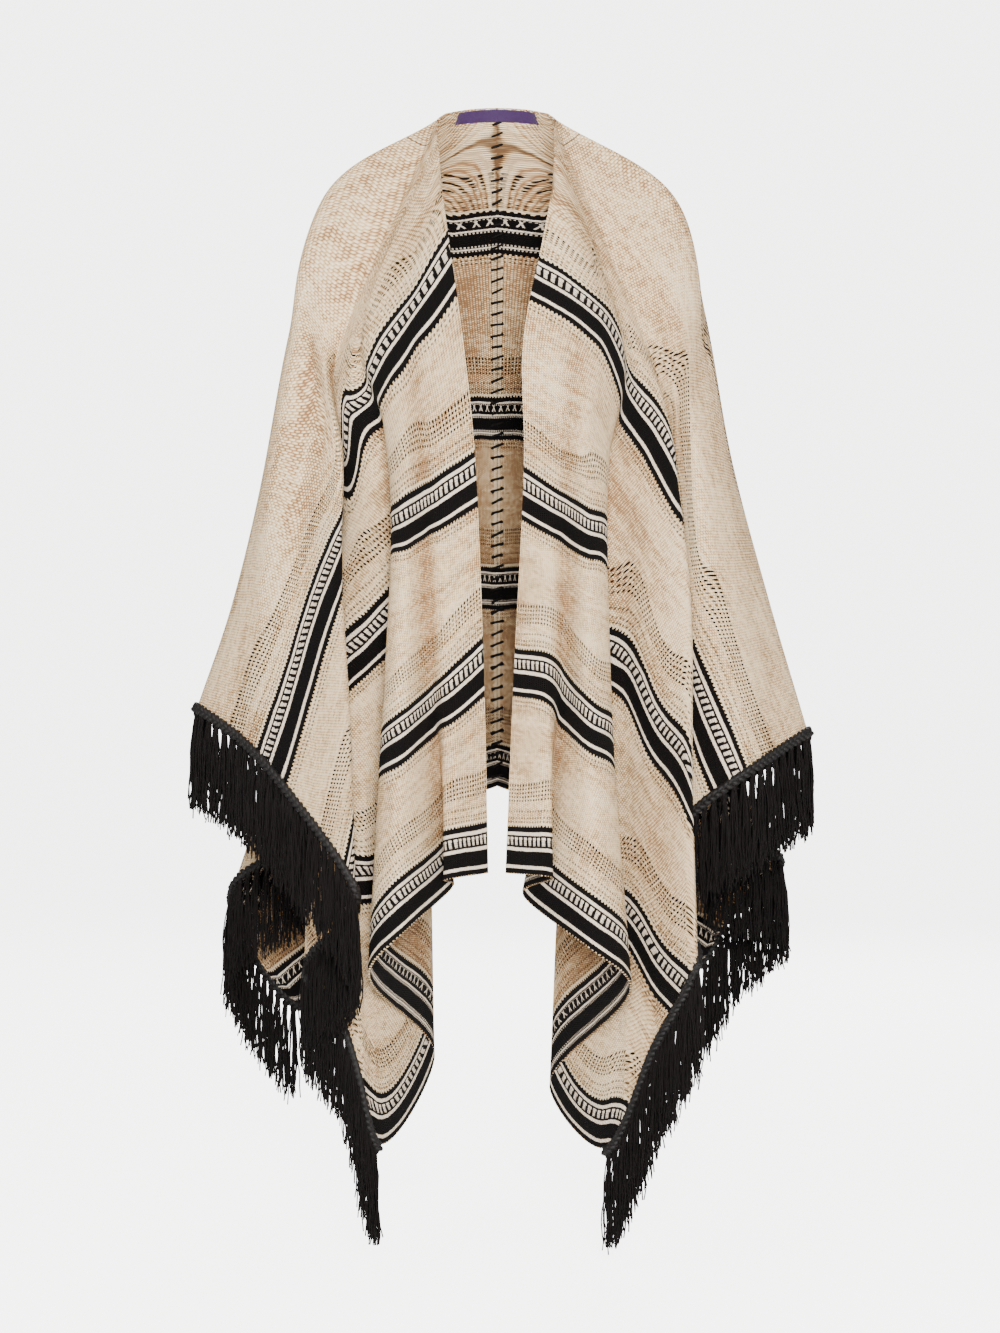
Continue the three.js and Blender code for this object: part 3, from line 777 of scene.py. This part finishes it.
def ground_tone(wires, along, signed, each, loops, slub, hollow, reverse):
    """How light the ground is: painted light and shade on the loops, slubs, long streaks, blotches,
    and painted shade in hollows and on the reverse.
    """
    streak = wires.noise(wires.join(wires.times(along, 0.005), wires.times(signed, 0.12)), 1.0)
    blotch = wires.noise(wires.join(wires.times(along, 0.012), wires.times(signed, 0.022)), 1.0)
    tone = wires.add(
        wires.spread(loops, *LOOP_LIGHT_AND_SHADE),
        wires.spread(each, -TONE_STITCH, TONE_STITCH),
        wires.spread(slub, -TONE_SLUB, TONE_SLUB),
        wires.spread(streak, -TONE_STREAK, TONE_STREAK),
        wires.spread(blotch, -TONE_BLOTCH, TONE_BLOTCH),
        TONE_MIDDLE,
    )
    # Painted shade: the ground darkens where the cloth lies hollow, and the hollow turns the other way
    # on the reverse.
    hollow = wires.times(hollow, -1.0 if reverse else 1.0)
    hollow = wires.math("MINIMUM", wires.either(hollow, HOLLOW_LEAST), HOLLOW_MOST)
    tone = wires.add(tone, wires.times(hollow, HOLLOW_SHADE))
    # Painted shade on the reverse face.
    return wires.add(tone, REVERSE_SHADE) if reverse else tone


def knit_pits(wires, cloth, flat, depth, hole_across):
    """Where the knit opens: the rows of holes over a stripe, and single rows of dots."""
    hole_down = wires.less(wires.share_of(depth, cloth.row_pitch / MM), 0.5)
    tall = wires.spread(wires.between(depth, *TALL_ROW, 0.2), 3.6, 2.4)
    far = wires.math("POWER", wires.add(
        wires.squared(wires.times(hole_across, 3.8)),
        wires.squared(wires.times(hole_down, tall))), 0.5)
    patchy = wires.above(wires.noise(flat, 0.05), 0.36, 0.10)
    hole = wires.times(wires.below(far, 0.95, 0.25), wires.between(depth, *OPENWORK, 0.2),
                       wires.spread(patchy, 0.6, 1.0))
    beside = wires.squared(wires.times(hole_across, 3.6))
    dots = wires.either(*(
        wires.below(wires.add(wires.squared(wires.times(wires.less(depth, row), 0.85)), beside),
                    0.8, 0.5)
        for row in DOT_ROWS))
    return wires.either(hole, wires.times(dots, 0.8))


def face_whites(wires, cloth, depth, along):
    """Where the stripe is white on the face: three lines and the cells of the ladder."""
    starts = stripe_edges()
    lines = wires.add(*(
        wires.between(depth, starts[line], starts[after])
        for line, after in (("top_white", "ladder"), ("middle_white", "wide_black"),
                            ("low_white", "low_black"))))
    leaning = wires.add(along, wires.times(depth, 0.16))
    step = wires.share_of(leaning, cloth.bar_pitch / MM)
    cell_top, cell_end = starts["ladder"] + 2.2, starts["middle_white"] - 2.4
    head = wires.times(wires.between(step, 0.20, 0.84, 0.05),
                       wires.between(depth, cell_top, cell_top + 2.6))
    foot = wires.times(wires.between(step, 0.34, 0.84, 0.05),
                       wires.between(depth, cell_top, cell_end))
    woven = wires.math("SINE", wires.times(depth, 2 * math.pi / 2.6))
    foot = wires.times(foot, wires.spread(wires.above(woven, 0.0, 0.8), 0.62, 0.95))
    return wires.either(lines, head, foot)


def reverse_whites(wires, depth, along):
    """Where the stripe is white on the reverse: lines, rows of ticks and crossed figures."""
    lines = [wires.between(depth, low, high, 0.3) for low, high in REVERSE_LINES]
    ticked = wires.above(wires.math("SINE", wires.times(along, 2 * math.pi / TICK_PITCH)), 0.1)
    ticks = [wires.times(wires.between(depth, low, high, 0.3), ticked, 0.75)
             for low, high in REVERSE_TICKS]
    off_middle = wires.times(
        wires.math("ABSOLUTE", wires.less(wires.share_of(along, FIGURE_PITCH), 0.5)), FIGURE_PITCH)
    legs = wires.times(wires.math("ABSOLUTE", wires.less(depth, FIGURE_CROSSING)), 0.45)
    crossed = wires.below(wires.math("ABSOLUTE", wires.less(off_middle, legs)), 0.75, 0.3)
    figures = wires.times(crossed, wires.between(depth, *REVERSE_FIGURES, 0.3), 0.9)
    return wires.either(*lines, *ticks, figures)


def yarn_material(name, colours, twist, gloss=0.12):
    """Black wool yarn, a little brown where light passes its fibres."""
    material, wires, surface = new_material(name, roughness=0.65, sheen=0.0)
    surface.inputs["Specular IOR Level"].default_value = gloss
    mottle = wires.noise(wires.spot(), 90.0, 3.0)
    base = wires.mix(wires.spread(mottle, 0.0, 0.25), opaque(colours.black), opaque(colours.shadow))
    wires.put(surface.inputs["Base Color"], base)
    wires.emboss(surface, wires.noise(wires.spot(), twist), 0.5, 0.8 * MM)
    return material


def satin_material(colours):
    """The label's woven satin, with its fine cross ribs."""
    material, wires, surface = new_material("label_satin", roughness=0.45, sheen=0.3)
    across, _, up = wires.parts_of(wires.spot())
    ribs = wires.math("SINE", wires.times(up, 2 * math.pi / (0.6 * MM)))
    threads = wires.math("SINE", wires.times(across, 2 * math.pi / (0.9 * MM)))
    weave = wires.times(ribs, threads)
    mottle = wires.noise(wires.spot(), 260.0)
    shade = wires.spread(wires.add(wires.times(weave, 0.5), mottle), 0.0, 0.35)
    base = wires.mix(shade, opaque(colours.purple), opaque([c * 2.2 for c in colours.purple]))
    wires.put(surface.inputs["Base Color"], base)
    wires.emboss(surface, weave, 0.3, 0.3 * MM)
    return material


# Geometry Nodes.


class Tree(Wires):
    """A Geometry Nodes tree with named inputs that ends in real, painted geometry."""

    def __init__(self, name, inputs):
        tree = bpy.data.node_groups.new(name, "GeometryNodeTree")
        super().__init__(tree)
        tree.interface.new_socket("Geometry", in_out="INPUT", socket_type="NodeSocketGeometry")
        tree.interface.new_socket("Geometry", in_out="OUTPUT", socket_type="NodeSocketGeometry")
        for key, (kind, _) in inputs.items():
            tree.interface.new_socket(key, in_out="INPUT", socket_type=f"NodeSocket{kind}")
        self.inputs = inputs
        self.given = tree.nodes.new("NodeGroupInput").outputs
        self.result = tree.nodes.new("NodeGroupOutput").inputs[0]

    def named(self, name, kind="FLOAT_VECTOR"):
        """An attribute that the points carry."""
        made = self.node("GeometryNodeInputNamedAttribute", {"data_type": kind})
        made.inputs["Name"].default_value = name
        return made.outputs["Attribute"]

    def chance(self, low, high, key, index=None):
        """A random vector or number between two ends, with a fixed key."""
        kind = "FLOAT_VECTOR" if isinstance(low, tuple) else "FLOAT"
        made = self.node("FunctionNodeRandomValue", {"data_type": kind})
        ends = [s for s in made.inputs if s.enabled and s.name in ("Min", "Max")]
        self.put(ends[0], low)
        self.put(ends[1], high)
        self.put(made.inputs["Seed"], self.add(self.given["Seed"], float(key)))
        if index is not None:
            self.put(made.inputs["ID"], index)
        return next(s for s in made.outputs if s.enabled)

    def vector(self, operation, *values):
        """One calculation on vectors."""
        made = self.node("ShaderNodeVectorMath", {"operation": operation})
        for socket, value in zip([s for s in made.inputs if s.enabled], values):
            self.put(socket, value)
        return next(s for s in made.outputs if s.enabled)

    def finish(self, geometry, material):
        """Makes the instances real, paints them and hands them on."""
        real = self.node("GeometryNodeRealizeInstances", Geometry=geometry)
        painted = self.node("GeometryNodeSetMaterial", Geometry=real.outputs[0], Material=material)
        self.put(self.result, painted.outputs[0])

    def grow(self, name, points, attributes):
        """Runs the tree on points and returns the result as a plain mesh object."""
        mesh = bpy.data.meshes.new(name + "_points")
        mesh.from_pydata([tuple(p) for p in points], [], [])
        for key, values in attributes.items():
            layer = mesh.attributes.new(key, "FLOAT_VECTOR", "POINT")
            layer.data.foreach_set("vector", np.asarray(values, np.float32).ravel())
        source = bpy.data.objects.new(name + "_source", mesh)
        bpy.context.collection.objects.link(source)
        modifier = source.modifiers.new("nodes", "NODES")
        modifier.node_group = self.tree
        for item in self.tree.interface.items_tree:
            if item.in_out == "INPUT" and item.name in self.inputs:
                modifier[item.identifier] = self.inputs[item.name][1]
        evaluated = source.evaluated_get(bpy.context.evaluated_depsgraph_get())
        result = bpy.data.meshes.new_from_object(evaluated)
        result.name = name
        bpy.data.objects.remove(source)
        piece = bpy.data.objects.new(name, result)
        bpy.context.collection.objects.link(piece)
        return piece


def tassel_tree(trim, material):
    """Tassels: from each point a knot and a bunch of loose yarns that hang and fray."""
    tree = Tree("tassels", {
        "Length": ("Float", trim.tassel_length),
        "Yarn": ("Float", trim.yarn),
        "Yarns": ("Int", trim.yarns),
        "Seed": ("Int", trim.seed),
    })
    given = tree.given
    bunch = tree.node("GeometryNodeDuplicateElements", {"domain": "POINT"},
                      Geometry=given["Geometry"], Amount=given["Yarns"])
    spread = tree.chance((-0.0024, -0.0022, -0.001), (0.0024, 0.0022, 0.001), 1)
    moved = tree.node("GeometryNodeSetPosition", Geometry=bunch.outputs[0], Offset=spread)
    line = tree.node("GeometryNodeCurvePrimitiveLine", End=(0.0, 0.0, 1.0))
    strand = tree.node("GeometryNodeResampleCurve", Curve=line.outputs[0], Count=9)
    hang = tree.vector("ADD", tree.named("hang"), tree.chance((-0.03, -0.03, 0), (0.03, 0.03, 0), 2))
    aim = tree.node("FunctionNodeAlignRotationToVector", {"axis": "Z"}, Vector=hang)
    reach = tree.times(given["Length"], tree.chance(0.84, 1.06, 3))
    hung = tree.node("GeometryNodeInstanceOnPoints", Points=moved.outputs[0],
                     Instance=strand.outputs[0], Rotation=aim.outputs[0],
                     Scale=tree.join(1.0, 1.0, reach))
    real = tree.node("GeometryNodeRealizeInstances", Geometry=hung.outputs[0])
    factor = tree.node("GeometryNodeSplineParameter").outputs["Factor"]
    which = tree.node("GeometryNodeCurveOfPoint").outputs[0]
    wave = tree.node("ShaderNodeTexNoise", {"noise_dimensions": "4D"}, Scale=26.0, Detail=1.0,
                     W=tree.times(which, 0.11))
    away = tree.vector("SUBTRACT", wave.outputs["Color"], (0.5, 0.5, 0.5))
    sway = tree.vector("SCALE", away, tree.times(tree.math("POWER", factor, 1.3), 0.024))
    fan = tree.vector("SCALE", tree.chance((-0.0050, -0.0044, 0), (0.0050, 0.0044, 0), 4, which),
                      tree.math("MINIMUM", tree.times(factor, 3.4), 1.0))
    early = tree.math("MINIMUM", tree.times(factor, 5.0), 1.0)
    bow = tree.vector("SCALE", tree.named("bow"), tree.times(early, tree.less(2.0, early)))
    loose = tree.vector("ADD", tree.vector("ADD", sway, fan), bow)
    frayed = tree.node("GeometryNodeSetPosition", Geometry=real.outputs[0], Offset=loose)
    thin = tree.node("GeometryNodeSetCurveRadius", Curve=frayed.outputs[0],
                     Radius=tree.less(1.0, tree.times(factor, 0.3)))
    ring = tree.node("GeometryNodeCurvePrimitiveCircle", Resolution=4,
                     Radius=tree.times(given["Yarn"], 0.5))
    yarns = tree.node("GeometryNodeCurveToMesh", Curve=thin.outputs[0],
                      Profile_Curve=ring.outputs[0], Fill_Caps=True)
    ball = tree.node("GeometryNodeMeshUVSphere", Segments=8, Rings=6, Radius=0.0042)
    size = tree.chance((0.85, 0.85, 1.0), (1.15, 1.05, 1.4), 5)
    knots = tree.node("GeometryNodeInstanceOnPoints", Points=given["Geometry"],
                      Instance=ball.outputs[0], Scale=size)
    both = tree.node("GeometryNodeJoinGeometry")
    tree.put(both.inputs[0], yarns.outputs[0])
    tree.put(both.inputs[0], knots.outputs[0])
    soft = tree.node("GeometryNodeSetShadeSmooth", Geometry=both.outputs[0])
    tree.finish(soft.outputs[0], material)
    return tree


def whip_stitch_tree(trim, material):
    """Short stitches of thick yarn, each one turned as its point says."""
    tree = Tree("whip_stitches", {
        "Length": ("Float", trim.stitch_length),
        "Yarn": ("Float", trim.stitch_thick),
        "Seed": ("Int", trim.seed),
    })
    given = tree.given
    half = tree.times(given["Length"], 0.5)
    line = tree.node("GeometryNodeCurveQuadraticBezier", Resolution=8,
                     Start=tree.join(tree.times(half, -1.0), 0.0, -0.001),
                     Middle=(0.0, 0.0, 0.0026), End=tree.join(half, 0.0, -0.001))
    ring = tree.node("GeometryNodeCurvePrimitiveCircle", Resolution=8,
                     Radius=tree.times(given["Yarn"], 0.5))
    stitch = tree.node("GeometryNodeCurveToMesh", Curve=line.outputs[0],
                       Profile_Curve=ring.outputs[0], Fill_Caps=True)
    sewn = tree.node("GeometryNodeInstanceOnPoints", Points=given["Geometry"],
                     Instance=stitch.outputs[0], Rotation=tree.named("turn"),
                     Scale=tree.chance((0.86, 0.9, 0.9), (1.12, 1.1, 1.1), 1))
    soft = tree.node("GeometryNodeSetShadeSmooth", Geometry=sewn.outputs[0])
    tree.finish(soft.outputs[0], material)
    return tree


# The pieces.


@functools.cache
def panel_for(side, neck_cut):
    """One panel, worked out once for each neck cut."""
    return Panel(side, neck_cut)


def panels_for(context):
    """Both panels, worked out from the cloth's sizes."""
    return {side: panel_for(side, context.scene.poncho_cloth.neck_cut) for side in SIDES}


class PONCHO_OT_panels(bpy.types.Operator):
    """Make the two knitted panels."""

    bl_idname = "poncho.panels"
    bl_label = "Knitted Panels"

    def execute(self, context):
        cloth = context.scene.poncho_cloth
        colours = context.scene.poncho_colours
        materials = [knit_material(cloth, colours, reverse) for reverse in (False, True)]
        for side, panel in panels_for(context).items():
            half = cloth.wall / 2
            corners, faces, count = shell(panel.points, panel.normals, -half, half, panel.turn)
            inside = np.zeros(len(faces), np.int32)
            inside[count:2 * count] = 1
            piece = mesh_object(f"{side}_knit", corners, faces, materials, inside)
            corner_of = np.empty(len(piece.data.loops), np.int32)
            piece.data.loops.foreach_get("vertex_index", corner_of)
            for key, first, second in (
                ("cloth", panel.turn * panel.width, panel.fall),
                # The hollow rides in the slope layer and drives painted shade in the folds.
                ("slope", panel.slope, panel.hollow / MM),
            ):
                values = np.tile(np.stack([first, second], -1).reshape(-1, 2), (2, 1))
                layer = piece.data.uv_layers.new(name=key)
                layer.data.foreach_set("uv", values[corner_of].astype(np.float32).ravel())
            piece.data.set_sharp_from_angle(angle=CRISP_ANGLE)
            dress(piece, "knit_cloth", f"{side}_panel")
        return {"FINISHED"}


def fringed_edge(panel):
    """Along the fringed edge: its points, the ways off it and out of it, and their spacing."""
    first, last = panel.column("under_layer"), panel.column("back_corner")
    points = panel.points[first:last + 1, -1]
    off = points - panel.points[first:last + 1, -2]
    off /= np.linalg.norm(off, axis=1, keepdims=True)
    out = panel.normals[first:last + 1, -1]
    run = np.concatenate([[0], np.cumsum(np.linalg.norm(np.diff(points, axis=0), axis=1))])
    return points, off, out, run


def along_edge(edge, places):
    """The edge's point and ways at places measured along it."""
    points, off, out, run = edge
    return [np.stack([np.interp(places, run, part[:, k]) for k in range(3)], -1)
            for part in (points, off, out)]


class PONCHO_OT_plaits(bpy.types.Operator):
    """Plait three black strands along each fringed edge."""

    bl_idname = "poncho.plaits"
    bl_label = "Plaited Edges"

    def execute(self, context):
        trim = context.scene.poncho_trim
        cloth = context.scene.poncho_cloth
        material = yarn_material("plait_yarn", context.scene.poncho_colours, 900.0, 0.35)
        for side, panel in panels_for(context).items():
            edge = fringed_edge(panel)
            places = np.arange(0, edge[3][-1], trim.plait_turn / 10)
            points, off, out = along_edge(edge, places)
            lines = []
            for strand in range(3):
                turn = 2 * math.pi * (places / trim.plait_turn + strand / 3)
                swing = (trim.plait_wide - trim.plait_strand) / 2
                across = np.sin(turn)[:, None] * swing
                deep = np.sin(2 * turn)[:, None] * trim.plait_strand * 0.42
                centre = points + off * (trim.plait_wide * 0.30) + out * cloth.wall
                lines.append(centre + off * across + out * deep)
            plait = mesh_object(f"{side}_plait", *tubes(lines, trim.plait_strand / 2, 8), [material])
            dress(plait, "black_trim", f"{side}_fringe")
        return {"FINISHED"}


class PONCHO_OT_tassels(bpy.types.Operator):
    """Hang a fringe of yarn tassels from each plait."""

    bl_idname = "poncho.tassels"
    bl_label = "Tassels"

    def execute(self, context):
        trim = context.scene.poncho_trim
        material = yarn_material("tassel_yarn", context.scene.poncho_colours, 1400.0)
        tree = tassel_tree(trim, material)
        for side, panel in panels_for(context).items():
            edge = fringed_edge(panel)
            half = trim.tassel_pitch / 2
            places = np.arange(half, edge[3][-1] - half, trim.tassel_pitch)
            points, off, out = along_edge(edge, places)
            roots = points + off * trim.plait_wide * 0.75
            hang = np.array([0, 0, -1.0]) + off * 0.05
            tassels = tree.grow(f"{side}_tassels", roots, {"hang": hang, "bow": off * 0.006})
            dress(tassels, "black_trim", f"{side}_fringe")
        return {"FINISHED"}


class PONCHO_OT_seam_stitches(bpy.types.Operator):
    """Whip stitch the two panels together down the middle of the back."""

    bl_idname = "poncho.seam_stitches"
    bl_label = "Seam Stitches"

    def execute(self, context):
        trim = context.scene.poncho_trim
        cloth = context.scene.poncho_cloth
        panel = panels_for(context)["right"]
        seam, normals = panel.points[-1], panel.normals[-1]
        run = np.concatenate([[0], np.cumsum(np.linalg.norm(np.diff(seam, axis=0), axis=1))])
        places = np.arange(0.018, run[-1] - 0.004, trim.stitch_pitch)
        roots, turns = [], []
        leans = np.random.default_rng(trim.seed).normal(20, 7, (2, len(places)))
        for face, face_leans in zip((-1, 1), np.radians(leans)):
            for place_at, lean in zip(places, face_leans):
                point = np.array([np.interp(place_at, run, seam[:, k]) for k in range(3)])
                normal = np.array([np.interp(place_at, run, normals[:, k]) for k in range(3)])
                point[0] = 0.0
                out = Vector(face * normal).normalized()
                up = Vector((0, 0, 1))
                side = up.cross(out).normalized()
                up = out.cross(side)
                aim = side * math.cos(lean) * (-face) + up * math.sin(lean)
                turn = Matrix((aim, out.cross(aim), out)).transposed()
                roots.append(Vector(point) + out * (cloth.wall / 2 + 0.2 * MM))
                turns.append(turn.to_euler())
        stitches = whip_stitch_tree(trim, yarn_material(
            "seam_yarn", context.scene.poncho_colours, 1800.0)).grow(
                "seam_stitches", roots, {"turn": turns})
        dress(stitches, "black_trim")
        return {"FINISHED"}


class PONCHO_OT_label(bpy.types.Operator):
    """Sew the plain label inside the neck."""

    bl_idname = "poncho.label"
    bl_label = "Neck Label"

    def execute(self, context):
        cloth = context.scene.poncho_cloth
        drop, tall, thick, gap = 1.5 * MM, 15 * MM, 0.8 * MM, 0.4 * MM
        strips = []
        for panel in panels_for(context).values():
            first = len(panel.points) - 1 - round(LABEL_COLUMNS * ACROSS)
            tops = panel.points[first:, 0]
            way = panel.points[first:, DOWN // 3] - tops
            way /= np.linalg.norm(way, axis=1, keepdims=True)
            rows = [tops + way * (drop + tall * share) for share in np.linspace(0, 1, 7)]
            strips.append((np.stack(rows, 1), panel.normals[first:, 0]))
        points = np.concatenate([strips[0][0][:-1], strips[1][0][::-1]])
        normals = np.concatenate([strips[0][1][:-1], strips[1][1][::-1]])
        normals = np.repeat(normals[:, None], points.shape[1], axis=1)
        inner = -(cloth.wall / 2 + gap)
        corners, faces, _ = shell(points, normals, inner - thick, inner, 1)
        material = satin_material(context.scene.poncho_colours)
        label = mesh_object("neck_label_cloth", corners, faces, [material])
        label.data.set_sharp_from_angle(angle=CRISP_ANGLE)
        dress(label, "label_satin", "neck_label")
        return {"FINISHED"}


class PONCHO_OT_stage(bpy.types.Operator):
    """Set up the camera, the soft studio lights and the pale backdrop."""

    bl_idname = "poncho.stage"
    bl_label = "Stage"

    def execute(self, context):
        scene = context.scene
        colours = scene.poncho_colours
        nape = (SIGHT_LEVEL - NAPE_DOWN) * (SIGHT_DISTANCE + NAPE_BEHIND) / SIGHT_FOCAL
        aside = (VIEW_CENTRE - SIGHT_CENTRE) * SIGHT_DISTANCE / SIGHT_FOCAL
        camera = bpy.data.cameras.new("camera")
        camera.lens = camera.sensor_width * SIGHT_FOCAL / VIEW_LONG_SIDE
        eye = bpy.data.objects.new("camera", camera)
        eye.location = (aside * MM, -(SIGHT_DISTANCE + NAPE_BEHIND) * MM, -nape * MM)
        eye.rotation_euler = (math.pi / 2, 0, 0)
        context.collection.objects.link(eye)
        scene.camera = eye

        world = bpy.data.worlds.new("studio")
        world.use_nodes = True
        sky = Wires(world.node_tree)
        lit = world.node_tree.nodes["Background"]
        lit.inputs["Color"].default_value = opaque(colours.backdrop)
        lit.inputs["Strength"].default_value = STUDIO_LIGHT
        seen = sky.node("ShaderNodeBackground", Color=opaque(colours.backdrop), Strength=STUDIO_SEEN)
        ray = sky.node("ShaderNodeLightPath").outputs["Is Camera Ray"]
        both = sky.node("ShaderNodeMixShader", Fac=ray)
        sky.put(both.inputs[1], lit.outputs[0])
        sky.put(both.inputs[2], seen.outputs[0])
        sky.put(world.node_tree.nodes["World Output"].inputs["Surface"], both.outputs[0])
        scene.world = world

        for name, spot, size, power in (
            ("front", (0.15, -3.4, -0.25), 0.8, 230),
            ("key", (-1.6, -2.6, 1.3), 1.4, 40),
            ("fill", (2.2, -2.6, 0.4), 2.4, 14),
            ("top", (0.0, 0.2, 2.4), 1.8, 24),
            ("rear", (0.6, 3.0, 0.8), 2.2, 90),
        ):
            lamp = bpy.data.lights.new(name, "AREA")
            lamp.shape = "DISK"
            lamp.size = size
            lamp.energy = power
            light = bpy.data.objects.new(name, lamp)
            light.location = spot
            aim = Vector((0, 0, -0.65)) - light.location
            light.rotation_euler = aim.to_track_quat("-Z", "Y").to_euler()
            context.collection.objects.link(light)

        material, wires, surface = new_material("backdrop_paper", roughness=1.0, sheen=0.0)
        paper = wires.noise(wires.node("ShaderNodeTexCoord").outputs["Object"], 40.0)
        base = opaque(colours.backdrop)
        wires.put(surface.inputs["Base Color"],
                  wires.mix(wires.spread(paper, 0.0, 0.02), base, opaque(colours.white)))
        surface.inputs["Emission Color"].default_value = base
        wires.put(surface.inputs["Emission Strength"], wires.times(
            wires.node("ShaderNodeLightPath").outputs["Is Camera Ray"], STUDIO_SEEN - STUDIO_LIGHT))
        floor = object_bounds()[0].z - 0.02
        reach = 9.0
        corners = [(-reach, -reach, floor), (reach, -reach, floor),
                   (reach, reach, floor), (-reach, reach, floor)]
        ground = mesh_object("studio_floor", corners, [(0, 1, 2, 3)], [material], smooth=False)
        ground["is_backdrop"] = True
        return {"FINISHED"}


class PONCHO_PT_panel(bpy.types.Panel):
    """Lists the poncho's pieces in the sidebar."""

    bl_idname = "PONCHO_PT_panel"
    bl_label = "Knitted Poncho"
    bl_space_type = "VIEW_3D"
    bl_region_type = "UI"
    bl_category = "Poncho"

    def draw(self, context):
        layout = self.layout
        for group in (context.scene.poncho_cloth, context.scene.poncho_trim,
                      context.scene.poncho_colours):
            box = layout.box()
            for key in group.__annotations__:
                box.prop(group, key)
        for operator in OPERATORS:
            layout.operator(operator.bl_idname)


OPERATORS = (
    PONCHO_OT_panels,
    PONCHO_OT_plaits,
    PONCHO_OT_tassels,
    PONCHO_OT_seam_stitches,
    PONCHO_OT_label,
    PONCHO_OT_stage,
)
GROUPS = {
    "poncho_cloth": PONCHO_PG_cloth,
    "poncho_trim": PONCHO_PG_trim,
    "poncho_colours": PONCHO_PG_colours,
}


def register():
    """Registers the classes and hangs their settings on the scene."""
    for group in GROUPS.values():
        bpy.utils.register_class(group)
    for operator in OPERATORS:
        bpy.utils.register_class(operator)
    bpy.utils.register_class(PONCHO_PT_panel)
    for key, group in GROUPS.items():
        setattr(bpy.types.Scene, key, bpy.props.PointerProperty(type=group))


def unregister():
    """Takes everything off again."""
    for key in GROUPS:
        delattr(bpy.types.Scene, key)
    bpy.utils.unregister_class(PONCHO_PT_panel)
    for operator in reversed(OPERATORS):
        bpy.utils.unregister_class(operator)
    for group in GROUPS.values():
        bpy.utils.unregister_class(group)


def main():
    """Makes every piece in turn."""
    register()
    bpy.ops.poncho.panels()
    bpy.ops.poncho.plaits()
    bpy.ops.poncho.tassels()
    bpy.ops.poncho.seam_stitches()
    bpy.ops.poncho.label()
    bpy.ops.poncho.stage()
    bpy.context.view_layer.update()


if __name__ == "__main__":
    main()
